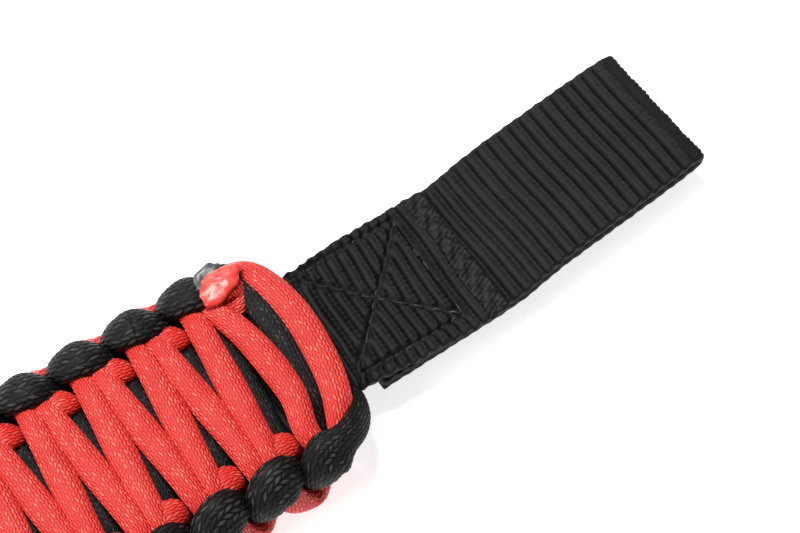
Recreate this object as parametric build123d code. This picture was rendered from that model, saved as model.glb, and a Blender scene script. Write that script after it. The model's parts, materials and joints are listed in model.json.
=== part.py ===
from build123d import *
import math
import os

# A limb band: a 25.4 mm webbing core, wrapped in two layers of knotted cord (a king cobra
# weave), with a folded webbing loop sewn to the core at each end.
# Millimetres, +X along the band, +Y across it, +Z up, resting on z = 0.

# ---- driving dimensions ----
PITCH = 5.15                # from one cord bar to the next, along the band
BARS_PER_SEGMENT = 8        # bars from one flex line to the next
CORE_WIDTH = 25.4           # the webbing inside the weave
CORE_THICKNESS = 1.5
PLY_THICKNESS = 1.2         # each ply of webbing outside the weave
OUTER_CORD_RADIUS = 1.6
INNER_CORD_RADIUS = 1.3
LEG_SPREAD = 3.35           # from a turn's middle to each of its legs
ARCH_HALF = 1.9             # half of the straight top of a turn's arch
FLEX_GAP = 0.8              # left between two segments of the core at a flex line
BEND_TRIM = 0.35            # left between a cord's bending bar and the cord on each side of it
TAB_HINGE_X = 108.0
TAB_HINGE_Y = 1.5
TAB_LENGTH = 26.0           # the sewn box
TAB_YAW = 2.2               # the webbing turns a little towards +Y
LOOP_YAW = 5.9
LOOP_LENGTH = 42.0
LOOP_INNER_RADIUS = 3.0
LOOP_BEND_RADIUS = 30.0     # where a side of the loop turns level
PLY_GAP = 0.02              # between the loop's two plies where they start
LOOP_TAPER = 13.0           # where the loop's two sides become parallel
CORE_HINGE_GAP = 1.2        # from the core's end to the tab's hinge line
TAB_HINGE_GAP = 0.3         # from the hinge line to the plies of the sewn box
LOOP_HINGE_GAP = 0.6        # from the sewn box to the loop's hinge line
LOOP_START = 1.0            # from that line to the loop's own plies
STITCH_WIDTH = 0.9
STITCH_THICKNESS = 0.4
STITCH_INSET = 2.2
STITCH_GAP = 0.02
BEAD_LENGTH = 1.8           # the heat-sealed edge at the core's cut end
BEAD_THICKNESS = 2.0

# ---- worked out ----
# A layer's shape: the cord's radius, the height at which it crosses the band, where the
# crossing ends, its arch, its outer and inner legs and the shoulder below them, as distances
# from the band's axis. The inner leg's shoulder is tucked in by `tuck`.
OUTER = dict(radius=OUTER_CORD_RADIUS, cross_z=5.3, cross_y=13.4, arch_y=18.1, arch_z=4.75,
             out_y=20.1, out_z=0.3, in_y=17.4, in_z=0.9, shoulder_y=17.4, shoulder_z=3.4, tuck=0.8)
INNER = dict(radius=INNER_CORD_RADIUS, cross_z=2.2, cross_y=11.4, arch_y=14.35, arch_z=1.6,
             out_y=14.9, out_z=-0.3, in_y=14.3, in_z=0.3, shoulder_y=13.9, shoulder_z=2.0, tuck=0.0)
MID_Z = OUTER["cross_z"] + OUTER_CORD_RADIUS
SEGMENT_LENGTH = BARS_PER_SEGMENT * PITCH
HALF_SEGMENT = BARS_PER_SEGMENT // 2
LOOP_SIDE_Z = LOOP_INNER_RADIUS + PLY_THICKNESS / 2
LOOP_DROP = MID_Z - LOOP_SIDE_Z - PLY_THICKNESS / 2
TAB_PITCH = math.degrees(math.asin(LOOP_DROP / (TAB_LENGTH + LOOP_LENGTH)))


def side_of(turn, layer_flip, face):
    """Which edge of the band (+1 or -1) a cord's turn number `turn` lies on."""
    parity = 1 if turn % 2 == 0 else -1
    return -face * layer_flip * parity


def first_half(turn, side, face, layer):
    """The route into a turn, up its outer leg to the middle of its arch."""
    centre = (turn + 0.5) * PITCH
    return [
        (centre - LEG_SPREAD, side * layer["cross_y"], -face * layer["cross_z"]),
        (centre - LEG_SPREAD, side * layer["shoulder_y"], -face * layer["shoulder_z"]),
        (centre - LEG_SPREAD, side * layer["out_y"], face * layer["out_z"]),
        (centre - ARCH_HALF, side * layer["arch_y"], face * layer["arch_z"]),
    ]


def second_half(turn, side, face, layer):
    """The route out of a turn, from its arch down the inner leg."""
    centre = (turn + 0.5) * PITCH
    tucked_y = layer["shoulder_y"] - layer["tuck"]
    return [
        (centre + ARCH_HALF, side * layer["arch_y"], face * layer["arch_z"]),
        (centre + LEG_SPREAD, side * layer["in_y"], face * layer["in_z"]),
        (centre + LEG_SPREAD, side * tucked_y, -face * layer["shoulder_z"]),
        (centre + LEG_SPREAD, side * layer["cross_y"], -face * layer["cross_z"]),
    ]


def arch_middle(turn, flip, face, layer, past=0.0):
    """The middle of a turn's arch, or a point `past` it along the band."""
    side = side_of(turn, flip, face)
    return ((turn + 0.5) * PITCH + past, side * layer["arch_y"], face * layer["arch_z"])


def cord_route(first_turn, last_turn, face, flip, layer, trim=0.0):
    """A cord's points from the middle of one turn to the middle of a later one."""
    points = [arch_middle(first_turn, flip, face, layer, trim)]
    for turn in range(first_turn, last_turn + 1):
        side = side_of(turn, flip, face)
        if turn > first_turn:
            points += first_half(turn, side, face, layer)
        if turn < last_turn:
            points += second_half(turn, side, face, layer)
    return points + [arch_middle(last_turn, flip, face, layer, -trim)]


def without_line_points(points):
    """Drops a point that lies in line with its neighbours."""
    kept = [points[0]]
    for here, after in zip(points[1:-1], points[2:]):
        before = Vector(*kept[-1])
        turn = (Vector(*here) - before).get_angle(Vector(*after) - Vector(*here))
        if turn > 0.5:
            kept.append(here)
    return kept + [points[-1]]


def corner_radii(points):
    """The largest arc that each corner's two runs leave room for.

    The first and last runs carry one arc each, so an arc may take twice the share of them."""
    runs = [Vector(*after) - Vector(*here) for here, after in zip(points, points[1:])]
    room = [0.45 * run.length for run in runs]
    room[0] *= 2
    room[-1] *= 2
    radii = []
    for corner in range(len(runs) - 1):
        half_turn = math.radians(runs[corner].get_angle(runs[corner + 1])) / 2
        radii.append(min(room[corner], room[corner + 1]) / math.tan(half_turn))
    return radii


def cord(points, radius, label):
    """A round tube along the route, lifted to the band's middle height."""
    lifted = [(x, y, z + MID_Z) for x, y, z in without_line_points(points)]
    radii = corner_radii(lifted)
    path = FilletPolyline(*lifted, radius=radii)
    start = Plane(origin=path @ 0, z_dir=path % 0)
    tube = sweep(start * Circle(radius), path=path)
    expected = math.pi * radius**2 * path.length
    print(f"{label}: smallest arc {min(radii):.2f}, length {path.length:.1f}, "
          f"volume/expected {tube.volume / expected:.4f}")
    return tube


def strap(x_from, x_to, thickness, y_middle=0.0):
    """A straight piece of webbing with softened edges."""
    block = Box(x_to - x_from, CORE_WIDTH, thickness)
    block = fillet(block.edges().filter_by(Axis.X), thickness * 0.35)
    return Pos((x_from + x_to) / 2, y_middle, MID_Z) * block


def half_turned(shape):
    return Rot(0, 0, 180) * shape


# ---- the cord routes at the +X end ----

def red_outer_end():
    """The red outer cord of the last segment: its last bar swings round the weave's end."""
    first = BARS_PER_SEGMENT + HALF_SEGMENT
    route = cord_route(first, first + 6, -1, 1, OUTER)[:-1]
    return route + [
        (97.4, 18.2, -4.2),
        (100.6, 19.6, -0.6),
        (103.0, 16.6, 3.6),
        (105.2, 9.0, 5.1),
        (104.9, -1.2, 5.2),
        (102.8, -9.6, 4.8),
        (99.4, -15.2, 3.0),
        (96.9, -19.4, 0.2),
        (95.6, -18.4, -3.8),
    ]


def black_outer_end():
    """The black outer cord of the last segment, round the corner and up to its melted end."""
    first = BARS_PER_SEGMENT + HALF_SEGMENT
    route = cord_route(first, first + 6, 1, 1, OUTER)[:-1]
    return route + [
        (98.2, -18.3, 4.3),
        (102.4, -16.4, 0.8),
        (103.6, -10.6, -3.6),
        (102.6, -1.0, -5.2),
        (101.0, 9.4, -5.0),
        (100.6, 15.6, -3.6),
        (101.6, 18.6, 0.2),
        (99.6, 17.9, 3.6),
    ]


def inner_end(face):
    """An inner cord of the last segment, cut off inside the weave's end."""
    first = BARS_PER_SEGMENT + HALF_SEGMENT
    return cord_route(first, first + 6, face, -1, INNER)


# ---- the webbing loop and the sewn box ----

def tab_place():
    return Pos(TAB_HINGE_X, TAB_HINGE_Y, MID_Z) * Rot(0, TAB_PITCH, TAB_YAW)


def loop_place():
    return tab_place() * Pos(TAB_LENGTH, 0, 0) * Rot(0, 0, LOOP_YAW - TAB_YAW)


def tab_ply(level):
    """One ply of the sewn box; level 1 is the core's end on top, 0 and -1 the loop's tails."""
    length = TAB_LENGTH - TAB_HINGE_GAP - LOOP_HINGE_GAP
    block = Box(length, CORE_WIDTH, PLY_THICKNESS)
    block = fillet(block.edges().filter_by(Axis.X), PLY_THICKNESS * 0.3)
    return Pos(TAB_HINGE_GAP + length / 2, 0, level * PLY_THICKNESS) * block


def strap_end():
    """The core's end with its melted bead."""
    ply = tab_ply(1)
    bead = Box(BEAD_LENGTH, CORE_WIDTH, BEAD_THICKNESS)
    bead = fillet(bead.edges().filter_by(Axis.Y), BEAD_THICKNESS * 0.3)
    bead_x = TAB_LENGTH - LOOP_HINGE_GAP - BEAD_LENGTH / 2
    bead_z = PLY_THICKNESS / 2 + BEAD_THICKNESS / 2
    return ply + Pos(bead_x, 0, bead_z) * bead


def webbing_loop():
    """The folded loop: two plies that leave the sewn box together and part round an eye."""
    fold_x = LOOP_LENGTH - LOOP_SIDE_Z - PLY_THICKNESS / 2
    upper = FilletPolyline((LOOP_START, 0, 0), (LOOP_TAPER, 0, LOOP_SIDE_Z),
                           (fold_x, 0, LOOP_SIDE_Z), radius=LOOP_BEND_RADIUS)
    fold = ThreePointArc((fold_x, 0, LOOP_SIDE_Z), (fold_x + LOOP_SIDE_Z, 0, 0),
                         (fold_x, 0, -LOOP_SIDE_Z))
    lower = FilletPolyline((fold_x, 0, -LOOP_SIDE_Z), (LOOP_TAPER, 0, -LOOP_SIDE_Z),
                           (LOOP_START, 0, -PLY_THICKNESS - PLY_GAP), radius=LOOP_BEND_RADIUS)
    path = Wire([*upper.edges(), fold, *lower.edges()])
    start = Plane(origin=path @ 0, x_dir=(0, 1, 0), z_dir=path % 0)
    return sweep(start * Rectangle(CORE_WIDTH, PLY_THICKNESS), path=path)


def stitch_pattern():
    """A sewn square with its two diagonals, as one flat thread outline."""
    size = CORE_WIDTH - 2 * STITCH_INSET
    square = Rectangle(size, size) - Rectangle(size - 2 * STITCH_WIDTH, size - 2 * STITCH_WIDTH)
    diagonal_length = (size - STITCH_WIDTH) * math.sqrt(2)
    pattern = square
    for angle in (45, -45):
        pattern += Rot(0, 0, angle) * Rectangle(diagonal_length, STITCH_WIDTH)
    return extrude(pattern, STITCH_THICKNESS)


def box_stitch():
    """The lockstitch that shows on the top of the sewn box and under it."""
    middle = (TAB_LENGTH - BEAD_LENGTH) / 2
    top_z = 1.5 * PLY_THICKNESS + STITCH_GAP
    top = Pos(middle, 0, top_z) * stitch_pattern()
    under = Pos(middle, 0, -top_z - STITCH_THICKNESS) * stitch_pattern()
    return Compound([top, under])


def melted_lump(size, place, turn):
    """A flattened lump of melted cord."""
    block = Box(*size)
    block = fillet(block.edges(), min(size) * 0.42)
    return Pos(*place) * Rot(0, 0, turn) * block


# ---- build ----

def build_parts():
    parts = {}
    cords = {
        "red_outer": (-1, 1, OUTER),
        "black_outer": (1, 1, OUTER),
        "black_inner": (-1, -1, INNER),
        "red_inner": (1, -1, INNER),
    }
    for name, (face, flip, layer) in cords.items():
        route = cord_route(-HALF_SEGMENT, HALF_SEGMENT - 1, face, flip, layer)
        full = cord(route, layer["radius"], name)
        for number, step in ((2, -1), (3, 0), (4, 1)):
            parts[f"{name}_cord_{number}"] = Pos(step * SEGMENT_LENGTH, 0, 0) * full
        bend_route = cord_route(HALF_SEGMENT - 1, HALF_SEGMENT, face, flip, layer, BEND_TRIM)
        bend = cord(bend_route, layer["radius"], name + " bend")
        for number, step in ((1, -2), (2, -1), (3, 0), (4, 1)):
            parts[f"{name}_bend_{number}"] = Pos(step * SEGMENT_LENGTH, 0, 0) * bend
    end_routes = {
        "red_outer": (red_outer_end(), OUTER_CORD_RADIUS),
        "black_outer": (black_outer_end(), OUTER_CORD_RADIUS),
        "black_inner": (inner_end(-1), INNER_CORD_RADIUS),
        "red_inner": (inner_end(1), INNER_CORD_RADIUS),
    }
    for name, (route, radius) in end_routes.items():
        end = cord(route, radius, name + " end")
        parts[f"{name}_cord_5"] = end
        parts[f"{name}_cord_1"] = half_turned(end)

    gap = FLEX_GAP / 2
    flex = SEGMENT_LENGTH / 2
    for number, step in ((2, -1), (3, 0), (4, 1)):
        middle = step * SEGMENT_LENGTH
        parts[f"core_strap_{number}"] = strap(middle - flex + gap, middle + flex - gap,
                                              CORE_THICKNESS)
    end_strap = strap(3 * flex + gap, TAB_HINGE_X + CORE_HINGE_GAP, CORE_THICKNESS)
    beyond = Box(CORE_WIDTH, 2 * CORE_WIDTH, CORE_WIDTH)
    end_strap -= tab_place() * Pos(CORE_WIDTH / 2 - CORE_HINGE_GAP, 0, 0) * beyond
    parts["core_strap_5"] = end_strap
    parts["core_strap_1"] = half_turned(end_strap)

    tab = tab_place()
    end_parts = {
        "strap_end": tab * strap_end(),
        "upper_tail": tab * tab_ply(0),
        "lower_tail": tab * tab_ply(-1),
        "box_stitch": tab * box_stitch(),
        "webbing_loop": loop_place() * webbing_loop(),
        "melted_red_end": melted_lump((6.8, 5.2, 2.2), (95.6, 16.2, MID_Z + 7.0), 28),
        "melted_black_end": melted_lump((5.2, 2.6, 1.8), (95.4, 20.2, MID_Z + 6.0), 10),
    }
    for name, shape in end_parts.items():
        parts[f"right_{name}"] = shape
        parts[f"left_{name}"] = half_turned(shape)
    return parts


os.makedirs("parts", exist_ok=True)
for node, shape in build_parts().items():
    export_step(shape, f"parts/{node}.step")
print("tab pitch", round(TAB_PITCH, 3), "middle height", MID_Z)
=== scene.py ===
import json
import math

import bpy
import numpy as np
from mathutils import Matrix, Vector


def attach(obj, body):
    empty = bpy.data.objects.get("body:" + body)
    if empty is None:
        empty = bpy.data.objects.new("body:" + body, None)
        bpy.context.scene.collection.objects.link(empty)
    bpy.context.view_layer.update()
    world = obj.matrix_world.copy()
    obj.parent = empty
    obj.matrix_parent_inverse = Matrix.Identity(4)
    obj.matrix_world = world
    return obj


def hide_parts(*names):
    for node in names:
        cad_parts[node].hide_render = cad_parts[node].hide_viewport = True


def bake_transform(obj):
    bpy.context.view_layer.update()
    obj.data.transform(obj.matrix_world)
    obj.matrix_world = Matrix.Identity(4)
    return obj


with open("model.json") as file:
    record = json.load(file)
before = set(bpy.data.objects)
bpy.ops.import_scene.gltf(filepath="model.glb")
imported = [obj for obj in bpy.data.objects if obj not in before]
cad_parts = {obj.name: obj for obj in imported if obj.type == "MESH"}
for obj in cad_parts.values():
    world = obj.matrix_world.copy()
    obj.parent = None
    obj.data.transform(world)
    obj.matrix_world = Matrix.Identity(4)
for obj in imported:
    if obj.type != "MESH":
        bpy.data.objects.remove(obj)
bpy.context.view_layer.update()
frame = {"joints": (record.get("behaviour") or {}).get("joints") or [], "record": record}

# A limb band: two layers of knotted cord woven round flat webbing, with a sewn webbing loop
# at each end. Shapes are worked out in millimetres and stored in metres.

MM = 0.001

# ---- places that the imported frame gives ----
record = frame["record"]
joints = {joint["name"]: joint for joint in frame["joints"]}
mounts = {mount["name"]: mount for mount in record["mounts"]}


def joint_place(name):
    return np.array(joints[name]["pos_m"]) / MM


def unit(vector):
    vector = np.asarray(vector, float)
    return vector / np.linalg.norm(vector)


BARS_TO_FLEX = 4
FLEX_INNER = joint_place("flex_3_4")[0]
MID_Z = joint_place("flex_3_4")[2]
PITCH = FLEX_INNER / BARS_TO_FLEX
TAB_HINGE = joint_place("right_tab_bend")
LOOP_HINGE = joint_place("right_loop_bend")
FOLD_CENTRE = np.array(mounts["right_loop_eye"]["pos_m"]) / MM
TAB_Y = -unit(joints["right_tab_bend"]["axis"])
TAB_X = unit(LOOP_HINGE - TAB_HINGE)
TAB_UP = np.cross(TAB_X, TAB_Y)
LOOP_Y = -unit(joints["right_loop_bend"]["axis"])
LOOP_X = unit(FOLD_CENTRE - LOOP_HINGE)
LOOP_UP = np.cross(LOOP_X, LOOP_Y)
TAB_LENGTH = float(np.linalg.norm(LOOP_HINGE - TAB_HINGE))
FOLD_REACH = float(np.linalg.norm(FOLD_CENTRE - LOOP_HINGE))
WEB_WIDTH = 25.4
PLY = 1.2


# ---- mesh helpers ----

def smoothstep(low, high, value):
    t = np.clip((value - low) / (high - low), 0, 1)
    return t * t * (3 - 2 * t)


def mesh_from_rings(name, rings, uv_rings, material, caps=True):
    """A tube from rings of points (ring, around, xyz), in mm, with one UV row per ring."""
    count, around, _ = rings.shape
    ring = (np.arange(count - 1) * around)[:, None]
    here = np.arange(around)[None, :]
    after = (here + 1) % around
    quads = np.stack([ring + here, ring + around + here,
                      ring + around + after, ring + after], axis=-1).reshape(-1, 4)
    u_after = np.arange(around)[None, :] + 1
    rows = np.arange(count - 1)[:, None]
    uv = np.stack([
        np.stack([uv_rings[0][here] + 0 * rows, uv_rings[1][rows] + 0 * here], -1),
        np.stack([uv_rings[0][here] + 0 * rows, uv_rings[1][rows + 1] + 0 * here], -1),
        np.stack([uv_rings[0][u_after] + 0 * rows, uv_rings[1][rows + 1] + 0 * here], -1),
        np.stack([uv_rings[0][u_after] + 0 * rows, uv_rings[1][rows] + 0 * here], -1),
    ], axis=2).reshape(-1, 2)
    loops = quads.reshape(-1)
    starts = np.arange(len(quads)) * 4
    if caps:
        last = (count - 1) * around
        front = np.arange(around)
        back = last + np.arange(around)[::-1]
        starts = np.concatenate([starts, [len(loops), len(loops) + around]])
        loops = np.concatenate([loops, front, back])
        uv = np.concatenate([uv, np.zeros((2 * around, 2))])
    mesh = bpy.data.meshes.new(name)
    mesh.vertices.add(count * around)
    mesh.vertices.foreach_set("co", (rings.reshape(-1) * MM).astype(np.float32))
    mesh.loops.add(len(loops))
    mesh.loops.foreach_set("vertex_index", loops.astype(np.int32))
    mesh.polygons.add(len(starts))
    mesh.polygons.foreach_set("loop_start", starts.astype(np.int32))
    mesh.update(calc_edges=True)
    layer = mesh.uv_layers.new(name="UVMap")
    layer.data.foreach_set("uv", uv.astype(np.float32).reshape(-1))
    mesh.polygons.foreach_set("use_smooth", np.ones(len(starts), bool))
    mesh.materials.append(material)
    mesh.validate()
    mesh.update()
    piece = bpy.data.objects.new(name, mesh)
    bpy.context.scene.collection.objects.link(piece)
    return piece


def through_points(rows, per_run):
    """A centripetal spline through the rows, as fine samples, and each row's sample number."""
    rows = np.asarray(rows, float)
    before = 2 * rows[0] - rows[1]
    beyond = 2 * rows[-1] - rows[-2]
    p = np.vstack([before, rows, beyond])
    gaps = np.maximum(np.linalg.norm(np.diff(p[:, :3], axis=0), axis=1), 1e-3) ** 0.5
    knots = np.concatenate([[0], np.cumsum(gaps)])
    fine = []
    for i in range(1, len(p) - 2):
        t0, t1, t2, t3 = knots[i - 1:i + 3]
        t = np.linspace(t1, t2, per_run, endpoint=False)[:, None]
        a1 = (t1 - t) / (t1 - t0) * p[i - 1] + (t - t0) / (t1 - t0) * p[i]
        a2 = (t2 - t) / (t2 - t1) * p[i] + (t - t1) / (t2 - t1) * p[i + 1]
        a3 = (t3 - t) / (t3 - t2) * p[i + 1] + (t - t2) / (t3 - t2) * p[i + 2]
        b1 = (t2 - t) / (t2 - t0) * a1 + (t - t0) / (t2 - t0) * a2
        b2 = (t3 - t) / (t3 - t1) * a2 + (t - t1) / (t3 - t1) * a3
        fine.append((t2 - t) / (t2 - t1) * b1 + (t - t1) / (t2 - t1) * b2)
    fine.append(rows[-1:])
    return np.vstack(fine)


def smoothed(samples, spread):
    """Samples with small kinks taken out by a bell-shaped average; the ends stay."""
    reach = int(3 * spread)
    weights = np.exp(-0.5 * (np.arange(-reach, reach + 1) / spread) ** 2)
    weights /= weights.sum()
    padded = np.vstack([np.repeat(samples[:1], reach, 0), samples,
                        np.repeat(samples[-1:], reach, 0)])
    return np.stack([np.convolve(padded[:, c], weights, "valid")
                     for c in range(samples.shape[1])], axis=1)


# ---- materials ----

class Shader:
    """Builds a node material; every call adds one node and returns its output."""

    def __init__(self, name):
        self.material = bpy.data.materials.new(name)
        self.material.use_nodes = True
        self.tree = self.material.node_tree
        self.surface = self.tree.nodes["Principled BSDF"]

    def node(self, kind, **settings):
        made = self.tree.nodes.new(kind)
        for key, value in settings.items():
            setattr(made, key, value)
        return made

    def put(self, socket, value):
        if isinstance(value, bpy.types.NodeSocket):
            self.tree.links.new(value, socket)
        else:
            socket.default_value = value

    def math(self, operation, *values):
        made = self.node("ShaderNodeMath", operation=operation)
        for socket, value in zip(made.inputs, values):
            self.put(socket, value)
        return made.outputs[0]

    def mix(self, share, low, high):
        made = self.node("ShaderNodeMix", data_type="RGBA")
        self.put(made.inputs[0], share)
        self.put(made.inputs[6], low)
        self.put(made.inputs[7], high)
        return made.outputs[2]

    def step(self, value, low, high):
        made = self.node("ShaderNodeMapRange", interpolation_type="SMOOTHSTEP")
        self.put(made.inputs[0], value)
        self.put(made.inputs[1], low)
        self.put(made.inputs[2], high)
        return made.outputs[0]

    def noise(self, scale, detail=2.0, vector=None, roughness=0.5):
        made = self.node("ShaderNodeTexNoise")
        self.put(made.inputs["Scale"], scale)
        self.put(made.inputs["Detail"], detail)
        self.put(made.inputs["Roughness"], roughness)
        if vector is None:
            vector = self.node("ShaderNodeTexCoord").outputs["Object"]
        self.put(made.inputs["Vector"], vector)
        return made.outputs[0]

    def uv(self):
        split = self.node("ShaderNodeSeparateXYZ")
        self.put(split.inputs[0], self.node("ShaderNodeUVMap", uv_map="UVMap").outputs[0])
        return split.outputs[0], split.outputs[1]

    def bump(self, height, distance, strength=1.0):
        made = self.node("ShaderNodeBump")
        self.put(made.inputs["Height"], height)
        made.inputs["Distance"].default_value = distance
        made.inputs["Strength"].default_value = strength
        self.put(self.surface.inputs["Normal"], made.outputs[0])
        return made


def rgb(red, green, blue):
    return (red, green, blue, 1.0)


# How far a scale of the braid leans along the cord, in scales, across one strip of the braid.
FLOAT_SLANT = 0.85


def braided(name, groove_shade, float_low, float_high, glint, glint_share, roughness, sheen, gloss):
    """A braided cord: rows of slanted floats in columns round it, read from the UV map."""
    s = Shader(name)
    column_place, along = s.uv()
    column = s.math("FLOOR", column_place)
    across = s.math("SUBTRACT", column_place, column)
    odd = s.math("MODULO", column, 2.0)
    lean = s.math("SUBTRACT", s.math("MULTIPLY", odd, 2.0), 1.0)
    slant = s.math("MULTIPLY", s.math("MULTIPLY", s.math("SUBTRACT", across, 0.5), lean),
                   FLOAT_SLANT)
    place = s.math("ADD", s.math("ADD", along, slant), s.math("MULTIPLY", odd, 0.5))
    cell = s.math("FLOOR", place)
    part = s.math("SUBTRACT", place, cell)
    rise = s.math("SUBTRACT", 1.0, s.math("ABSOLUTE", s.math("SUBTRACT", s.math(
        "MULTIPLY", part, 2.0), 1.0)))
    wall = s.math("SUBTRACT", 1.0, s.math("ABSOLUTE", s.math("SUBTRACT", s.math(
        "MULTIPLY", across, 2.0), 1.0)))
    height = s.math("MULTIPLY", s.step(rise, 0.0, 0.62), s.step(wall, 0.0, 0.75))
    joined = s.node("ShaderNodeCombineXYZ")
    s.put(joined.inputs[0], column)
    s.put(joined.inputs[1], cell)
    white = s.node("ShaderNodeTexWhiteNoise", noise_dimensions="2D")
    s.put(white.inputs["Vector"], joined.outputs[0])
    chance = white.outputs["Value"]
    fibre_place = s.node("ShaderNodeCombineXYZ")
    s.put(fibre_place.inputs[0], s.math("MULTIPLY", s.math("SUBTRACT", part, across), 9.0))
    s.put(fibre_place.inputs[1], s.math("MULTIPLY", s.math("ADD", cell, across), 2.0))
    fibre = s.noise(1.0, 1.0, fibre_place.outputs[0])
    broad = s.noise(260.0, 2.0)
    base = s.mix(s.step(broad, 0.35, 0.65), float_low, float_high)
    # Painted highlight: randomly chosen floats get a lighter glint colour on their crowns.
    lit = s.math("MULTIPLY", s.step(chance, 1.0 - glint_share, 1.0), s.step(height, 0.5, 0.95))
    base = s.mix(lit, base, glint)
    # Painted shade: the grooves between the floats are darkened towards the first colour, as if
    # shaded.
    base = s.mix(s.step(height, 0.02, 0.42), groove_shade, base)
    s.put(s.surface.inputs["Base Color"], base)
    relief = s.math("ADD", height, s.math("MULTIPLY", fibre, 0.22))
    s.bump(relief, 0.00009, 0.8)
    s.put(s.surface.inputs["Roughness"], s.math("ADD", roughness, s.math(
        "MULTIPLY", fibre, 0.15)))
    s.surface.inputs["Sheen Weight"].default_value = sheen
    s.surface.inputs["Sheen Roughness"].default_value = 0.4
    s.surface.inputs["Specular IOR Level"].default_value = gloss
    return s.material


# In each braid the first colour darkens the grooves as painted shade, and the fourth is a painted
# glint highlight on the floats' crowns.
red_cord = braided("red_braid", rgb(0.26, 0.006, 0.006), rgb(0.73, 0.030, 0.021),
                   rgb(0.83, 0.045, 0.030), rgb(1.0, 0.16, 0.11), 0.4, 0.42, 0.05, 0.30)
black_cord = braided("black_braid", rgb(0.0025, 0.0025, 0.0028), rgb(0.0065, 0.0065, 0.0068),
                     rgb(0.0100, 0.0097, 0.0094), rgb(0.046, 0.042, 0.039), 0.55, 0.42, 0.0, 0.12)


def webbing_material(name, low, high, dust_and_sheen, roughness):
    """Black ribbed webbing: the ribs are in the mesh, and the yarn is in the bump."""
    s = Shader(name)
    across, along = s.uv()
    yarn_place = s.node("ShaderNodeCombineXYZ")
    s.put(yarn_place.inputs[0], s.math("MULTIPLY", across, 9.0))
    s.put(yarn_place.inputs[1], s.math("MULTIPLY", along, 2.2))
    yarn = s.noise(1.0, 2.0, yarn_place.outputs[0])
    broad = s.noise(190.0, 3.0)
    speck = s.noise(1900.0, 1.0)
    base = s.mix(s.step(broad, 0.35, 0.68), low, high)
    # Lighter colour on the raised yarn, where the bump is high: partly dust on the nylon, partly
    # painted highlight.
    base = s.mix(s.math("MULTIPLY", s.step(yarn, 0.5, 0.85), 0.55), base, dust_and_sheen)
    base = s.mix(s.step(speck, 0.86, 0.9), base, rgb(0.10, 0.08, 0.06))
    s.put(s.surface.inputs["Base Color"], base)
    s.bump(s.math("ADD", yarn, s.math("MULTIPLY", speck, 0.3)), 0.00009, 0.8)
    s.put(s.surface.inputs["Roughness"], s.math("ADD", roughness, s.math(
        "MULTIPLY", yarn, 0.2)))
    s.surface.inputs["Specular IOR Level"].default_value = 0.20
    return s.material


# The fourth colour lies on the raised yarn: part dust, part painted highlight.
webbing = webbing_material("webbing_nylon", rgb(0.0028, 0.0028, 0.0030), rgb(0.0056, 0.0053, 0.0050),
                           rgb(0.020, 0.018, 0.0165), 0.5)
sealed = webbing_material("heat_sealed_nylon", rgb(0.0035, 0.0038, 0.0048),
                          rgb(0.0050, 0.0054, 0.0070), rgb(0.0085, 0.0088, 0.0110), 0.42)


def thread_material():
    s = Shader("sewing_thread")
    place = s.node("ShaderNodeTexCoord").outputs["Object"]
    ply = s.node("ShaderNodeTexWave", bands_direction="DIAGONAL")
    s.put(ply.inputs["Vector"], place)
    ply.inputs["Scale"].default_value = 900.0
    # The thread's colour follows its ply bumps: lighter on the crowns as painted highlight, darker
    # between the plies as painted shade.
    s.put(s.surface.inputs["Base Color"], s.mix(ply.outputs[1], rgb(0.005, 0.005, 0.0055),
                                                rgb(0.012, 0.0115, 0.0115)))
    s.bump(ply.outputs[1], 0.00006, 0.7)
    s.surface.inputs["Roughness"].default_value = 0.5
    return s.material


def melted_material(name, body, body_light, pale, soot, pale_share):
    """Melted nylon: glossy and a little translucent, with pale and sooty patches."""
    s = Shader(name)
    patch = s.noise(330.0, 3.0, roughness=0.6)
    smudge = s.noise(620.0, 2.0)
    ripple = s.noise(900.0, 2.0)
    base = s.mix(s.step(s.noise(500.0, 1.0), 0.4, 0.65), body, body_light)
    base = s.mix(s.math("MULTIPLY", s.step(patch, 0.56, 0.74), pale_share), base, pale)
    base = s.mix(s.math("MULTIPLY", s.step(smudge, 0.62, 0.75), 0.5), base, soot)
    s.put(s.surface.inputs["Base Color"], base)
    s.bump(ripple, 0.0003, 0.55)
    s.put(s.surface.inputs["Roughness"], s.math("ADD", 0.27, s.math("MULTIPLY", patch, 0.2)))
    s.surface.inputs["Subsurface Weight"].default_value = 0.12
    s.surface.inputs["Subsurface Radius"].default_value = (0.002, 0.0006, 0.0005)
    s.surface.inputs["Coat Weight"].default_value = 0.15
    s.surface.inputs["Coat Roughness"].default_value = 0.12
    return s.material


thread = thread_material()
melted_red = melted_material("melted_red_nylon", rgb(0.70, 0.035, 0.028), rgb(0.86, 0.075, 0.05),
                             rgb(0.90, 0.36, 0.30), rgb(0.22, 0.05, 0.03), 0.6)
melted_black = melted_material("melted_black_nylon", rgb(0.045, 0.047, 0.050),
                               rgb(0.085, 0.088, 0.092), rgb(0.17, 0.17, 0.175),
                               rgb(0.010, 0.010, 0.010), 0.6)


# ---- the cords ----
# A station is where a cord passes in one turn: its place along the band from the turn's
# middle, its distance out from the band's axis, its height towards the turn's arch, the way
# its flat side faces (in the same three directions), and its width and thickness.

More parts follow.
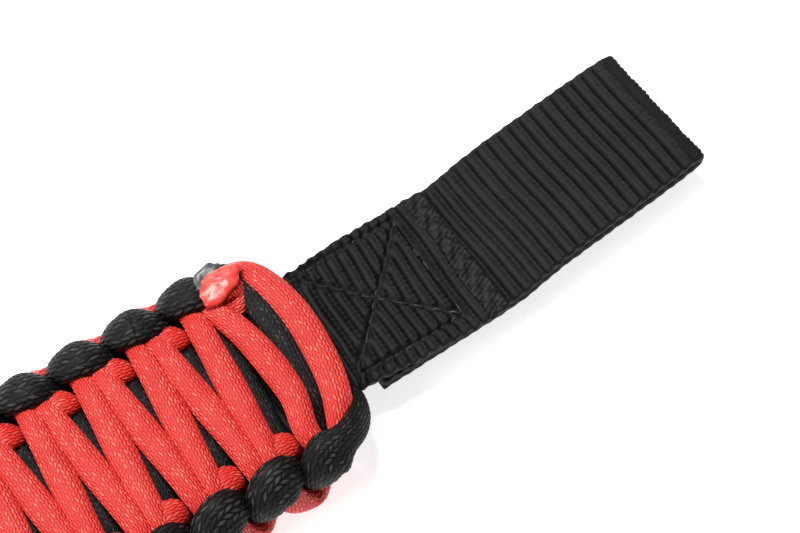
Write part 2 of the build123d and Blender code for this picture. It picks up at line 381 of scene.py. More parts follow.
OUTER_IN = [
    (-3.20, 7.0, -5.4, (0, 0.0, -1), 4.5, 3.4),
    (-3.60, 12.0, -5.05, (0, 0.15, -1), 4.2, 3.4),
    (-3.75, 14.6, -4.2, (0, 0.5, -0.85), 3.8, 3.3),
    (-3.80, 17.0, -2.6, (-0.1, 0.85, -0.5), 3.8, 3.2),
    (-3.65, 18.8, 0.0, (-0.25, 1, 0), 4.8, 3.5),
    (-3.20, 19.1, 2.5, (-0.5, 0.85, 0.35), 6.4, 4.1),
    (-1.90, 18.4, 4.2, (-0.3, 0.6, 0.8), 7.6, 4.5),
]
OUTER_ARCH = (0, 17.8, 4.9, (0, 0.48, 0.9), 8.0, 4.7)
OUTER_OUT = [
    (1.90, 17.4, 4.5, (0.35, 0.42, 0.85), 7.6, 4.4),
    (3.20, 17.1, 3.0, (0.75, 0.45, 0.5), 6.2, 3.9),
    (3.70, 16.8, 0.9, (0.6, 0.7, 0), 4.4, 3.3),
    (3.80, 16.3, -1.7, (0.3, 0.85, -0.4), 3.8, 3.2),
    (3.75, 14.6, -4.1, (0, 0.5, -0.85), 3.8, 3.3),
    (3.60, 12.0, -5.05, (0, 0.15, -1), 4.2, 3.4),
    (3.20, 7.0, -5.4, (0, 0.0, -1), 4.5, 3.4),
]
OUTER_CROSSING = (5.35, 5.0, 3.4)
INNER_IN = [
    (-3.05, 6.5, -2.95, (0, 0, -1), 4.4, 2.8),
    (-3.30, 10.2, -2.6, (0, 0.2, -1), 4.1, 2.7),
    (-3.35, 13.0, -1.6, (0, 0.8, -0.6), 3.7, 2.5),
    (-3.25, 14.0, 0.6, (-0.2, 1, 0), 3.6, 2.5),
    (-2.80, 13.8, 2.7, (-0.6, 0.6, 0.5), 4.2, 2.6),
    (-1.40, 13.1, 4.3, (-0.25, 0.2, 1), 4.8, 2.7),
]
INNER_ARCH = (0, 12.9, 4.75, (0, 0.1, 1), 5.0, 2.8)
INNER_OUT = [
    (1.50, 12.8, 4.55, (0.2, 0.1, 1), 5.0, 2.8),
    (2.75, 12.8, 3.6, (0.7, 0.1, 0.7), 4.7, 2.8),
    (3.30, 13.2, 1.6, (0.9, 0.45, 0.2), 4.0, 2.6),
    (3.35, 13.6, -0.6, (0.3, 0.9, -0.2), 3.7, 2.5),
    (3.35, 12.6, -2.0, (0, 0.6, -0.8), 3.7, 2.5),
    (3.30, 10.2, -2.6, (0, 0.2, -1), 4.1, 2.7),
    (3.05, 6.5, -2.95, (0, 0, -1), 4.4, 2.8),
]
INNER_CROSSING = (3.0, 4.5, 2.9)
LAYERS = {
    "outer": dict(into=OUTER_IN, arch=OUTER_ARCH, out=OUTER_OUT, crossing=OUTER_CROSSING,
                  shift=0.0, first=-13),
    "inner": dict(into=INNER_IN, arch=INNER_ARCH, out=INNER_OUT, crossing=INNER_CROSSING,
                  shift=-PITCH / 2, first=-11),
}
LAST_PLAIN = 12      # the last turn before the two shaped ends, which start at turn 13
LAST_TURN = 18
CUT_TURNS = (-17, -9, -1, 7, 15)
COLUMNS = 22         # strips of the braid round a cord
FLOAT_LENGTH = 1.08  # one scale of the braid, along the cord
BRAID_RELIEF = 0.11
RELIEF_MIDDLE = 0.6
RUN_SAMPLES = 24     # spline samples between two rows
KINK_SPREAD = 5.0    # how many samples the smoothing reaches over
LAST_BAR_BOW = 2.3   # how far the last plain red bar bows towards the end
BACK_ARCH_REACH = 1.7   # how far the red back arches stand out past the black ones at +Y
EDGE_OUT = 16           # stations further out than this are on the band's edge
FLOOR_SQUASH = 0.9      # below this height the cords are pressed flat


def turn_centre(turn, layer):
    return (turn + 0.5) * PITCH + layer["shift"]


def turn_side(turn, flip, face):
    parity = 1 if turn % 2 == 0 else -1
    return -face * flip * parity


def rows_of(stations, turn, side, face, layer):
    """Stations as rows of x, y, z, normal, width and thickness."""
    centre = turn_centre(turn, layer)
    rows = [[centre + a, side * out, face * up, n[0], side * n[1], face * n[2], width, thick]
            for a, out, up, n, width, thick in stations]
    if face < 0 and side > 0 and layer["shift"] == 0:
        for row, (a, out, up, *_) in zip(rows, stations):
            row[1] += BACK_ARCH_REACH * smoothstep(-3.0, 0.5, up) * (out > EDGE_OUT)
    return rows


def crossing_row(x, face, layer):
    height, width, thick = layer["crossing"]
    return [x, 0.0, -face * height, 0, 0, -face, width, thick]


def half_turned(rows):
    turned = np.array(rows, float)
    turned[:, [0, 1, 3, 4]] *= -1
    return turned[::-1]


def cord_rows(face, flip, layer, end_rows, bow):
    """A cord's rows from the band's -X end to its +X end, and the row number of each arch."""
    rows, arches = [], {}
    shaped = []
    shaped_arches = {}
    for turn in range(LAST_PLAIN + 1, LAST_TURN + 1):
        side = turn_side(turn, flip, face)
        shaped += rows_of(layer["into"], turn, side, face, layer)
        shaped_arches[turn] = len(shaped)
        shaped += rows_of([layer["arch"]], turn, side, face, layer)
        if turn < LAST_TURN:
            shaped += rows_of(layer["out"], turn, side, face, layer)
            middle = (turn_centre(turn, layer) + turn_centre(turn + 1, layer)) / 2
            shaped.append(crossing_row(middle, face, layer))
        if turn == LAST_TURN - 1 and bow:
            shaped[-1][0] += bow
            shaped[-2][0] += 0.75 * bow
    if bow:
        shaped[shaped_arches[LAST_TURN] - len(layer["into"])][0] += 0.85 * bow
        shaped[shaped_arches[LAST_TURN] - len(layer["into"]) + 1][0] += 0.4 * bow
    shaped += end_rows
    rows += half_turned(shaped).tolist()
    for turn, number in shaped_arches.items():
        arches[-turn - 1] = len(shaped) - 1 - number
    joint_x = (-turn_centre(LAST_PLAIN + 1, layer) + turn_centre(layer["first"], layer)) / 2
    rows.append(crossing_row(joint_x, face, layer))
    for turn in range(layer["first"], LAST_PLAIN + 1):
        side = turn_side(turn, flip, face)
        rows += rows_of(layer["into"], turn, side, face, layer)
        arches[turn] = len(rows)
        rows += rows_of([layer["arch"]], turn, side, face, layer)
        rows += rows_of(layer["out"], turn, side, face, layer)
        middle = (turn_centre(turn, layer) + turn_centre(turn + 1, layer)) / 2
        rows.append(crossing_row(middle, face, layer))
    for turn, number in shaped_arches.items():
        arches[turn] = len(rows) + number
    return rows + shaped, arches


def resting(rings):
    """Presses the parts that would dip below the floor flat, softly, onto it."""
    z = rings[..., 2]
    squashed = FLOOR_SQUASH * np.exp((np.minimum(z, FLOOR_SQUASH) - FLOOR_SQUASH) / FLOOR_SQUASH)
    rings[..., 2] = np.where(z < FLOOR_SQUASH, squashed, z)
    return rings


def section_angles(count):
    """Angles that give a flattened cord's columns the same width all round it."""
    fine = np.linspace(0, 2 * math.pi, 2001)
    x, y = flattened(fine)
    lengths = np.concatenate([[0], np.cumsum(np.hypot(np.diff(2.4 * x), np.diff(1.5 * y)))])
    return np.interp(np.arange(count) / count * lengths[-1], lengths, fine)


def flattened(angle):
    """A round-cornered oval: its place across and up, each from -1 to 1."""
    power = 2 / 1.95
    c, s = np.cos(angle), np.sin(angle)
    return np.sign(c) * np.abs(c) ** power, np.sign(s) * np.abs(s) ** power


def braid_height(columns, along):
    """The braid's relief from 0 to 1, as the shader draws it."""
    column = np.floor(columns + 1e-6)
    across = columns - column
    odd = np.mod(column, 2)
    place = along + (across - 0.5) * (2 * odd - 1) * FLOAT_SLANT + odd * 0.5
    part = place - np.floor(place)
    rise = 1 - np.abs(2 * part - 1)
    wall = 1 - np.abs(2 * across - 1)
    return smoothstep(0, 0.62, rise) * smoothstep(0, 0.75, wall)


def make_cord(name, face, flip, layer, end_rows, material, per_column, ring_gap, bow=0):
    rows, arches = cord_rows(face, flip, layer, end_rows, bow)
    fine = smoothed(through_points(rows, RUN_SAMPLES), KINK_SPREAD)
    steps = np.linalg.norm(np.diff(fine[:, :3], axis=0), axis=1)
    length = np.concatenate([[0], np.cumsum(steps)])
    cuts = [length[arches[turn] * RUN_SAMPLES] for turn in CUT_TURNS]
    cuts = [0.0, *cuts, length[-1]]
    around = COLUMNS * per_column
    angle = section_angles(around)
    flat_x, flat_y = flattened(angle)
    columns = np.arange(around + 1) / per_column
    for number, (start, end) in enumerate(zip(cuts, cuts[1:]), 1):
        count = int(round((end - start) / ring_gap)) + 1
        at = np.linspace(start, end, count)
        ring = np.stack([np.interp(at, length, fine[:, c]) for c in range(8)], axis=1)
        nearby = np.stack([np.interp(at + 0.05, length, fine[:, c]) -
                           np.interp(at - 0.05, length, fine[:, c]) for c in range(3)], axis=1)
        tangent = nearby / np.maximum(np.linalg.norm(nearby, axis=1, keepdims=True), 1e-9)
        normal = ring[:, 3:6]
        normal = normal - (normal * tangent).sum(1, keepdims=True) * tangent
        normal = normal / np.linalg.norm(normal, axis=1, keepdims=True)
        binormal = np.cross(tangent, normal)
        half_width = ring[:, 6, None, None] / 2
        half_thick = ring[:, 7, None, None] / 2
        spread = flat_x[None, :, None] * binormal[:, None, :]
        lift = flat_y[None, :, None] * normal[:, None, :]
        out = spread / half_width + lift / half_thick
        out /= np.maximum(np.linalg.norm(out, axis=2, keepdims=True), 1e-9)
        along = at / FLOAT_LENGTH
        relief = braid_height(columns[None, :-1], along[:, None])
        points = (ring[:, None, :3] + spread * half_width + lift * half_thick
                  + out * (relief[:, :, None] - RELIEF_MIDDLE) * BRAID_RELIEF)
        points[:, :, 2] += MID_Z
        points = resting(points)
        piece = mesh_from_rings(f"{name}_{number}", points, (columns, along), material)
        near = f"{name}_cord_"
        bend = f"{name}_bend_"
        if number == 1:
            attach(piece, "weave_1")
            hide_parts(near + "1")
        elif number == 6:
            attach(piece, "weave_5")
            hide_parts(near + "5")
        else:
            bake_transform(piece)
            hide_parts(near + str(number - 1), near + str(number),
                        bend + str(number - 1))


# The +X end, as the photograph shows it; the -X end is the same, turned by half a turn. Each
# row is x, y and height over the band's middle, the way the flat side faces, width, thickness.
RED_OUTER_END = [
    [96.4, 18.2, -4.9, 0.2, 0.7, -0.7, 5.0, 3.2],
    [97.6, 19.7, -2.0, 0.2, 0.95, 0.1, 4.6, 3.0],
    [98.8, 19.2, 1.2, 0.35, 0.8, 0.55, 4.6, 2.9],
    [100.4, 17.2, 3.6, 0.35, 0.45, 0.85, 4.8, 2.9],
    [101.8, 13.6, 4.8, 0.25, 0.15, 0.95, 4.9, 3.0],
    [102.7, 9.0, 5.25, 0.15, 0, 1, 5.0, 3.0],
    [103.1, 4.0, 5.4, 0.05, 0, 1, 5.1, 3.0],
    [102.8, -1.2, 5.4, 0, 0, 1, 5.1, 3.0],
    [102.1, -6.0, 5.3, 0, 0, 1, 5.0, 3.0],
    [101.0, -10.2, 5.0, 0, -0.1, 1, 4.8, 3.0],
    [99.4, -13.6, 4.1, 0.1, -0.45, 0.85, 4.6, 3.1],
    [98.2, -15.8, 2.3, 0.1, -0.8, 0.5, 4.2, 3.1],
    [97.4, -17.2, -0.4, 0.1, -1, 0, 4.0, 3.1],
    [96.4, -17.2, -3.0, 0, -0.8, -0.5, 4.0, 3.1],
]
BLACK_OUTER_END = [
    [97.8, -17.3, 5.5, 0.15, -0.4, 0.9, 5.4, 3.4],
    [100.4, -16.2, 4.7, 0.35, -0.5, 0.8, 5.2, 3.3],
    [102.7, -14.0, 3.3, 0.55, -0.5, 0.65, 5.0, 3.2],
    [104.0, -11.0, 1.2, 0.8, -0.35, 0.4, 4.6, 3.2],
    [104.3, -7.8, -1.6, 0.9, -0.1, -0.1, 4.4, 3.1],
    [103.8, -4.0, -4.0, 0.5, 0, -0.8, 4.6, 3.0],
    [102.8, 1.0, -5.2, 0.1, 0, -1, 4.8, 2.9],
    [101.6, 8.5, -5.2, 0, 0, -1, 4.8, 2.9],
    [101.0, 14.2, -4.2, 0, 0.4, -0.9, 4.4, 3.0],
    [101.0, 16.6, -2.2, 0.1, 0.8, -0.6, 4.0, 3.0],
    [100.6, 17.0, 0.2, 0.2, 1, 0.1, 3.8, 2.8],
]
BLACK_INNER_END = [
    [94.2, -12.9, -4.5, 0.2, -0.1, -1, 5.0, 2.8],
    [95.6, -13.2, -3.2, 0.7, -0.3, -0.6, 4.6, 2.8],
    [96.4, -13.4, -0.8, 0.8, -0.6, 0.1, 4.0, 2.6],
    [97.2, -12.0, 1.5, 0.4, -0.6, 0.7, 4.0, 2.6],
    [97.8, -8.6, 3.1, 0.1, -0.2, 1, 4.6, 2.8],
    [98.3, -3.4, 3.8, 0, 0, 1, 5.0, 2.9],
    [98.9, 2.4, 4.2, 0, 0, 1, 5.4, 2.9],
    [99.2, 8.2, 4.4, 0.1, 0, 1, 5.6, 2.9],
    [99.2, 12.6, 4.2, 0.2, 0.1, 0.95, 5.2, 2.9],
    [98.8, 15.6, 4.1, 0.3, 0.3, 0.85, 4.6, 2.9],
    [97.6, 17.6, 4.7, 0.2, 0.5, 0.8, 4.3, 2.9],
    [96.2, 18.4, 5.2, 0.1, 0.5, 0.85, 4.0, 2.7],
    [94.8, 18.7, 5.5, 0, 0.4, 0.9, 3.4, 2.0],
]
RED_INNER_END = [
    [94.0, 12.7, 4.6, 0.1, 0, 1, 5.0, 2.7],
    [95.8, 12.6, 4.3, 0.2, 0, 1, 4.8, 2.7],
    [97.0, 13.4, 4.6, 0.4, 0.2, 0.9, 4.6, 2.7],
    [96.9, 14.8, 5.6, 0.3, 0.1, 0.95, 5.4, 2.3],
    [95.8, 15.6, 6.2, 0, 0.1, 1, 5.8, 1.9],
]

make_cord("red_outer", -1, 1, LAYERS["outer"], RED_OUTER_END, red_cord,
          3, FLOAT_LENGTH / 4, LAST_BAR_BOW)
make_cord("black_outer", 1, 1, LAYERS["outer"], BLACK_OUTER_END, black_cord,
          3, FLOAT_LENGTH / 4)
make_cord("black_inner", -1, -1, LAYERS["inner"], BLACK_INNER_END, black_cord,
          2, FLOAT_LENGTH / 3)
make_cord("red_inner", 1, -1, LAYERS["inner"], RED_INNER_END, red_cord,
          2, FLOAT_LENGTH / 3)


# ---- the melted ends ----

def melted_lump(name, size, place, turn, tilt, seed, material, node, body, flip):
    """A flattened lump with wavy edges; flip is -1 for the band's -X end."""
    lanes, around = 40, 72
    theta = np.linspace(0.02, math.pi - 0.02, lanes)[:, None]
    phi = (np.arange(around) / around * 2 * math.pi)[None, :]
    draws = np.random.default_rng(seed)
    wave = np.ones_like(phi)
    for lobes in (2, 3, 5, 7):
        wave = wave + draws.uniform(0.03, 0.10) * np.cos(lobes * phi + draws.uniform(0, 6.3))
    ring = np.sin(theta) ** 0.55
    level = np.cos(theta)
    level = np.sign(level) * np.abs(level) ** 0.9
    x = size[0] / 2 * ring * np.cos(phi) * wave
    y = size[1] / 2 * ring * np.sin(phi) * wave
    dents = 0
    for _ in range(7):
        middle = draws.uniform(-0.8, 0.8, 2) * np.array(size[:2]) / 2
        reach = draws.uniform(0.7, 1.5)
        dents = dents + draws.uniform(-0.22, 0.2) * np.exp(
            -((x - middle[0]) ** 2 + (y - middle[1]) ** 2) / reach ** 2)
    z = size[2] / 2 * level * np.ones_like(phi) + np.where(level > 0, dents, 0)
    c, s = math.cos(turn), math.sin(turn)
    turned_x, turned_y = c * x - s * y, s * x + c * y
    points = np.stack([turned_x, turned_y, z + tilt[0] * turned_x + tilt[1] * turned_y], -1)
    points = points + np.array(place)
    points[:, :, :2] *= flip
    points[:, :, 2] += MID_Z
    piece = mesh_from_rings(name, points, (np.arange(around + 1) / around,
                                           np.arange(lanes) / lanes), material)
    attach(piece, body)
    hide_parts(node)


for side, flip, body in (("right", 1, "weave_5"), ("left", -1, "weave_1")):
    melted_lump(f"{side}_melted_red", (9.4, 5.0, 1.9), (94.9, 15.9, 6.9), 0.30, (0.02, -0.10),
                11, melted_red, f"{side}_melted_red_end", body, flip)
    melted_lump(f"{side}_melted_black", (6.6, 3.6, 1.5), (93.9, 18.4, 6.4), 0.35, (0.0, -0.2),
                5, melted_black, f"{side}_melted_black_end", body, flip)


# ---- the webbing ----
RIB_PITCH = 2.3
SEWN_RIB_PITCH = 1.95
NUB_PITCH = 0.95
X_CENTRE = 8.2          # the middle of the sewn cross, from the tab's hinge
BOX_HALF = 10.4
SEAL_START = 21.6
SEAL_END = 25.4


def rib_relief(along, across, pitch, depth, nub_share):
    """Ribs across the webbing, each a row of small nubs."""
    place = along / pitch
    number = np.floor(place + 0.5)
    band = 0.5 + 0.5 * np.cos(2 * math.pi * place)
    shifted = across / NUB_PITCH + 0.5 * np.mod(number, 2) + 0.22 * along
    nub = np.abs(np.sin(math.pi * shifted))
    wobble = 1 + 0.10 * np.sin(0.9 * across + 2.1 * number) + 0.08 * np.sin(
        2.3 * across + 0.7 * number)
    return depth * band ** 2.4 * (1 - nub_share + nub_share * nub ** 0.7) * wobble


def ribbon(name, path_rows, relief, top_count, under_count, gap, material, edge_wave=0.0):
    """Webbing along rows of x, y, z, across direction (3), width and thickness."""
    fine = smoothed(through_points(path_rows, 60), 8.0)
    steps = np.linalg.norm(np.diff(fine[:, :3], axis=0), axis=1)
    length = np.concatenate([[0], np.cumsum(steps)])
    count = int(round(length[-1] / gap)) + 1
    at = np.linspace(0, length[-1], count)
    row = np.stack([np.interp(at, length, fine[:, c]) for c in range(8)], axis=1)
    nearby = np.stack([np.interp(at + 0.1, length, fine[:, c]) -
                       np.interp(at - 0.1, length, fine[:, c]) for c in range(3)], axis=1)
    tangent = nearby / np.maximum(np.linalg.norm(nearby, axis=1, keepdims=True), 1e-9)
    across_way = row[:, 3:6] - (row[:, 3:6] * tangent).sum(1, keepdims=True) * tangent
    across_way /= np.linalg.norm(across_way, axis=1, keepdims=True)
    normal = np.cross(tangent, across_way)
    top = np.linspace(-1, 1, top_count)
    under = np.linspace(1, -1, under_count + 2)[1:-1]
    share = np.concatenate([top, under])
    upward = np.concatenate([np.ones(top_count), -np.ones(under_count)])
    half = row[:, 6, None] / 2 + edge_wave * (
        np.sin(at * 2.73) + 0.6 * np.sin(at * 1.13 + 1))[:, None]
    across = share[None, :] * half
    from_edge = np.clip(half - np.abs(across), 0, None)
    rounding = np.sqrt(np.clip(1 - (1 - np.clip(from_edge / 0.7, 0, 1)) ** 2, 0, 1))
    lift = row[:, 7, None] / 2 * (0.15 + 0.85 * rounding)
    height = relief(at[:, None], across, upward[None, :]) * rounding
    points = (row[:, None, :3] + across_way[:, None, :] * across[:, :, None]
              + normal[:, None, :] * ((lift + height) * upward[None, :])[:, :, None])
    places = np.concatenate([share, [share[0]]]) * WEB_WIDTH / 2
    return mesh_from_rings(name, points, (places, at), material)


def tab_point(along, across, up):
    return TAB_HINGE + along * TAB_X + across * TAB_Y + up * TAB_UP


def loop_point(along, across, up):
    return LOOP_HINGE + along * LOOP_X + across * LOOP_Y + up * LOOP_UP


def path_row(point, across_way, width, thickness):
    return [*point, *across_way, width, thickness]


def turned_for(side, rows):
    """The rows of a path as they are at the +X end, or turned half round for the -X end."""
    rows = np.array(rows, float)
    if side == "left":
        rows[:, [0, 1, 3, 4]] *= -1
    return rows


def crease(along, across):
    """How deep the sewn box and its cross pull the webbing in."""
    u, v = along - X_CENTRE, across - 0.5
    lines = [np.abs(u - v) / math.sqrt(2), np.abs(u + v) / math.sqrt(2)]
    inside = (np.abs(u) < BOX_HALF) & (np.abs(v) < BOX_HALF)
    depth = np.zeros(np.broadcast(u, v).shape)
    for line in lines:
        depth = np.maximum(depth, np.where(inside, np.exp(-(line / 0.55) ** 2), 0))
    edge = np.maximum(np.abs(u), np.abs(v)) - BOX_HALF
    return np.maximum(depth, 0.8 * np.exp(-(edge / 0.5) ** 2))


TURNS_PER_PIECE = 8
CORE_START = 2 * TURNS_PER_PIECE * PITCH


def strap_relief(along, across, upward):
    """The strap's ribs, with the sewn box's creases once it is past the hinge."""
    place = along - (TAB_HINGE[0] - CORE_START)
    wander = 0.22 * np.sin(0.31 * across + 0.16 * place) + 0.5 * crease(place, across) * np.sign(
        place - X_CENTRE)
    ribs = rib_relief(place + wander, across, SEWN_RIB_PITCH, 0.85, 0.60)
    pulled = crease(place, across) * smoothstep(-3, 1, place)
    seal = smoothstep(SEAL_START - 1, SEAL_START + 1.2, place)
    puff = 0.18 * np.sin(0.62 * place + 0.4) * np.sin(0.45 * across + 0.3)
    raised = ribs * (1 - 0.75 * pulled) * (1 - 0.8 * seal) - 0.5 * pulled + puff
    return np.where(upward > 0, raised, 0.5 * ribs)


def loop_relief(along, across, upward):
    ribs = rib_relief(along + 0.10 * np.sin(0.35 * across), across, RIB_PITCH, 0.65, 0.35)
    return np.where(upward > 0, ribs, 0.5 * ribs)


def seal_relief(along, across, upward):
    lumps = (0.10 * np.sin(1.7 * across + 1.3 * np.sin(1.9 * along))
             + 0.06 * np.sin(3.7 * across + 1.6 * along) + 0.04 * np.sin(7.3 * across - 3 * along))
    return np.where(upward > 0, 0.12 + lumps, 0.0)


def core_relief(along, across, upward):
    return rib_relief(along, across, RIB_PITCH, 0.2, 0.2)


for number in range(2, 6):
    start_x = (number - 4) * TURNS_PER_PIECE * PITCH
    end_x = (number - 3) * TURNS_PER_PIECE * PITCH
    rows = [path_row((x, 0, MID_Z), (0, 1, 0), WEB_WIDTH - 0.8, 1.2)
            for x in np.linspace(start_x, end_x, 6)]
    piece = ribbon(f"core_strap_piece_{number}", rows, core_relief, 40, 20, 0.6, webbing)
    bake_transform(piece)
    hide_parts(f"core_strap_{number - 1}", f"core_strap_{number}")

strap_rows = [
    path_row((CORE_START, 0, MID_Z), (0, 1, 0), WEB_WIDTH - 0.8, 1.2),
    path_row((CORE_START + 9, 0.2, MID_Z), (0, 1, 0), 24.2, 1.2),
    path_row((TAB_HINGE[0] - 9, 1.2, MID_Z + 0.1), (-0.03, 1, 0), 23.8, 1.2),
    path_row((TAB_HINGE[0] - 3, 1.9, MID_Z + 0.5), (-0.06, 1, 0), 23.9, 1.2),
    path_row(tab_point(2, 0.2, PLY + 0.1), TAB_Y, 24.6, PLY),
    path_row(tab_point(8, 0, PLY + 0.15), TAB_Y, 25.6, PLY),
    path_row(tab_point(15, -0.3, PLY + 0.1), TAB_Y, 26.0, PLY),
    path_row(tab_point(SEAL_END, -0.5, PLY), TAB_Y, 25.8, PLY),
]
seal_rows = [path_row(tab_point(along, -0.5, PLY + 0.32), TAB_Y, 26.0, PLY * 0.8)
             for along in (SEAL_START, 22.6, 23.8, SEAL_END + 0.3)]
UPPER_LEVEL = 2.6        # how far the loop's two sides part, up and down from its middle
LOWER_LEVEL = 0.5
loop_rows = [path_row(tab_point(along, 0, 0), TAB_Y, WEB_WIDTH, PLY)
             for along in (0.6, 8, 16, TAB_LENGTH - 2)]
loop_rows += [
    path_row(loop_point(3, 0, 0.3), LOOP_Y, WEB_WIDTH, PLY),
    path_row(loop_point(8, 0, 1.6), LOOP_Y, WEB_WIDTH, PLY),
    path_row(loop_point(14, 0, UPPER_LEVEL - 0.2), LOOP_Y, WEB_WIDTH, PLY),
    path_row(loop_point(22, 0, UPPER_LEVEL), LOOP_Y, WEB_WIDTH, PLY),
    path_row(loop_point(FOLD_REACH - 4, 0, UPPER_LEVEL), LOOP_Y, WEB_WIDTH, PLY),
]
fold_middle = (UPPER_LEVEL + LOWER_LEVEL) / 2
fold_radius = (UPPER_LEVEL - LOWER_LEVEL) / 2
for angle in (80, 55, 28, 0, -28, -55, -80):
    turn = math.radians(angle)
    loop_rows.append(path_row(
        loop_point(FOLD_REACH + 3.6 - fold_radius + fold_radius * math.cos(turn), 0,
                   fold_middle + fold_radius * math.sin(turn)), LOOP_Y, WEB_WIDTH - 0.3, PLY))
loop_rows += [
    path_row(loop_point(FOLD_REACH - 4, 0, LOWER_LEVEL), LOOP_Y, WEB_WIDTH, PLY),
    path_row(loop_point(22, 0, LOWER_LEVEL), LOOP_Y, WEB_WIDTH, PLY),
    path_row(loop_point(10, 0, LOWER_LEVEL - 0.2), LOOP_Y, WEB_WIDTH, PLY),
    path_row(loop_point(3, 0, -PLY - 0.1), LOOP_Y, WEB_WIDTH, PLY),
]
loop_rows += [path_row(tab_point(along, 0, -PLY - 0.1), TAB_Y, WEB_WIDTH, PLY)
              for along in (TAB_LENGTH - 2, 16, 8, 0.6)]


THREAD_RADIUS = 0.20
STITCH_PITCH = 2.7
STITCH_SINK = 0.30


def stitches():
    """Lockstitch threads round the sewn box and across it, on top and underneath."""
    corners = [(-BOX_HALF, -BOX_HALF), (BOX_HALF, -BOX_HALF), (BOX_HALF, BOX_HALF),
               (-BOX_HALF, BOX_HALF)]
    runs = list(zip(corners, corners[1:] + corners[:1]))
    runs += [(corners[0], corners[2]), (corners[1], corners[3])]
    around, lanes = 8, 7
    angle = np.arange(around) / around * 2 * math.pi
    rings = []
    for level, sign in ((1.5 * PLY + 0.02, 1), (-1.5 * PLY - 0.35, -1)):
        for start, end in runs:
            start, end = np.array(start), np.array(end)
            distance = np.linalg.norm(end - start)
            count = int(distance // STITCH_PITCH)
            way = (end - start) / distance
            beside = np.array([-way[1], way[0]])
            for index in range(count):
                middle = start + way * distance * (index + 0.5) / count
                reach = np.linspace(-1, 1, lanes)
                for part in reach:
                    fat = THREAD_RADIUS * math.sqrt(max(0.03, 1 - abs(part) ** 4))
                    sink = -STITCH_SINK - 0.25 * part * part
                    place = middle + way * part * (distance / count) * 0.44
                    ring = []
                    for a in angle:
                        flat = place + beside * math.cos(a) * fat
                        ring.append(tab_point(flat[0] + X_CENTRE, flat[1] + 0.5,
                                              level + sign * (sink + math.sin(a) * fat * 0.8)))
                    rings.append(ring)
    return np.array(rings).reshape(-1, lanes, around, 3)


def stitch_mesh(name, side, material):
    groups = stitches()
    groups = groups[(groups[:, :, :, 0].min(axis=(1, 2)) > TAB_HINGE[0] + 0.5)]
    if side == "left":
        groups[..., :2] *= -1
    total, lanes, around, _ = groups.shape
    faces = []
    for index in range(total):
        base = index * lanes * around
        for lane in range(lanes - 1):
            for k in range(around):
                a = base + lane * around + k
                b = base + lane * around + (k + 1) % around
                faces.append((a, b, b + around, a + around))
        faces.append(tuple(base + k for k in range(around))[::-1])
        faces.append(tuple(base + (lanes - 1) * around + k for k in range(around)))
    mesh = bpy.data.meshes.new(name)
    mesh.from_pydata((groups.reshape(-1, 3) * MM).tolist(), [], faces)
    mesh.polygons.foreach_set("use_smooth", np.ones(len(faces), bool))
    mesh.materials.append(material)
    mesh.update()
    piece = bpy.data.objects.new(name, mesh)
    bpy.context.scene.collection.objects.link(piece)
    return piece


for side, weave, sign in (("right", "weave_5", 1), ("left", "weave_1", -1)):
    strap = ribbon(f"{side}_strap", turned_for(side, strap_rows), strap_relief, 120, 50,
                   0.27, webbing, 0.10)
    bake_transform(strap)
    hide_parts(f"core_strap_{5 if side == 'right' else 1}", f"{side}_strap_end")
    seal = ribbon(f"{side}_sealed_edge", turned_for(side, seal_rows), seal_relief, 150, 20,
                  0.2, sealed, 0.12)
    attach(seal, f"{side}_tab")
    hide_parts(f"{side}_strap_end")
    loop = ribbon(f"{side}_loop_webbing", turned_for(side, loop_rows), loop_relief, 100, 40,
                  0.29, webbing, 0.05)
    turn = np.array([sign, sign, 1])
    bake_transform(loop)
    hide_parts(f"{side}_upper_tail", f"{side}_lower_tail", f"{side}_webbing_loop")
    sewn = stitch_mesh(f"{side}_box_stitches", side, thread)
    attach(sewn, f"{side}_tab")
    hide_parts(f"{side}_box_stitch")


# ---- floor, light and camera ----
FLOOR_HALF = 6.0         # metres
FLOOR_HEIGHT = -0.0002   # just under the band, so that the two don't share a plane
FLOOR_GLOW = 0.75

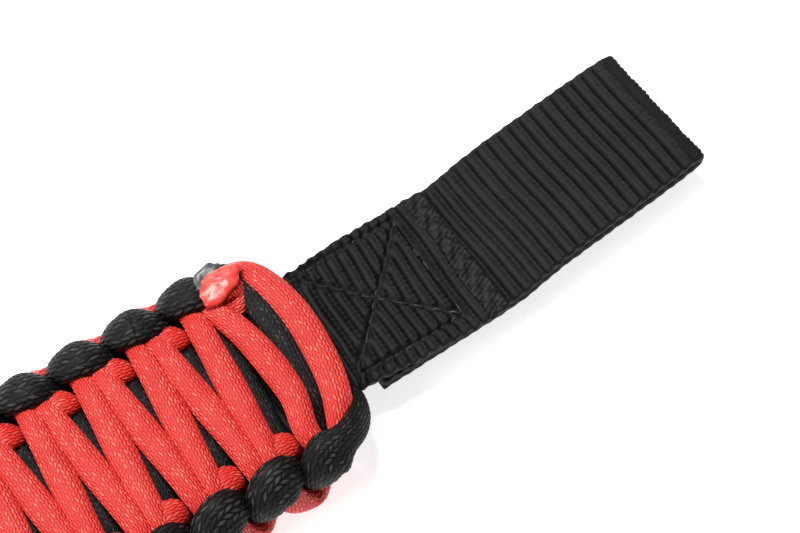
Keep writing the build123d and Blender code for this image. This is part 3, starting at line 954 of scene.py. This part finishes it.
def floor():
    s = Shader("pale_floor")
    grain = s.noise(30.0, 3.0)
    s.put(s.surface.inputs["Base Color"], s.mix(grain, rgb(0.93, 0.93, 0.93),
                                                rgb(0.96, 0.96, 0.96)))
    s.surface.inputs["Roughness"].default_value = 0.9
    s.surface.inputs["Emission Color"].default_value = rgb(1, 1, 1)
    s.surface.inputs["Emission Strength"].default_value = FLOOR_GLOW
    mesh = bpy.data.meshes.new("floor")
    corners = [(-1, -1), (1, -1), (1, 1), (-1, 1)]
    mesh.from_pydata([(x * FLOOR_HALF, y * FLOOR_HALF, FLOOR_HEIGHT) for x, y in corners], [],
                     [(0, 1, 2, 3)])
    mesh.materials.append(s.material)
    made = bpy.data.objects.new("floor", mesh)
    bpy.context.scene.collection.objects.link(made)


def area_light(name, place, size, power):
    light = bpy.data.lights.new(name, "AREA")
    light.shape = "DISK"
    light.size = size
    light.energy = power
    made = bpy.data.objects.new(name, light)
    made.location = place
    target = Vector((0.09, 0, 0))
    made.rotation_euler = (target - Vector(place)).to_track_quat("-Z", "Y").to_euler()
    bpy.context.scene.collection.objects.link(made)


floor()
WORLD_STRENGTH = 0.20
area_light("softbox_over", (0.05, 0.45, 0.95), 0.45, 15.0)
area_light("softbox_left", (-0.75, 0.1, 0.6), 0.5, 6.0)
world = bpy.data.worlds.new("studio")
world.use_nodes = True
world.node_tree.nodes["Background"].inputs[0].default_value = (1, 1, 1, 1)
world.node_tree.nodes["Background"].inputs[1].default_value = WORLD_STRENGTH
bpy.context.scene.world = world
bpy.context.scene.view_settings.view_transform = "Standard"

CAMERA_TARGET = Vector((0.1231, 0.0053, MID_Z * MM))
CAMERA_DISTANCE = 0.5
CAMERA_AZIMUTH = math.radians(-33.0)
CAMERA_ELEVATION = math.radians(65.65)
camera_data = bpy.data.cameras.new("camera")
camera_data.lens = 136.2
camera_data.sensor_width = 36.0
camera_data.clip_start = 0.02
camera = bpy.data.objects.new("camera", camera_data)
back = Vector((math.sin(CAMERA_AZIMUTH) * math.cos(CAMERA_ELEVATION),
               -math.cos(CAMERA_AZIMUTH) * math.cos(CAMERA_ELEVATION),
               math.sin(CAMERA_ELEVATION)))
camera.location = CAMERA_TARGET + back * CAMERA_DISTANCE
camera.rotation_euler = (-back).to_track_quat("-Z", "Y").to_euler()
bpy.context.scene.collection.objects.link(camera)
bpy.context.scene.camera = camera
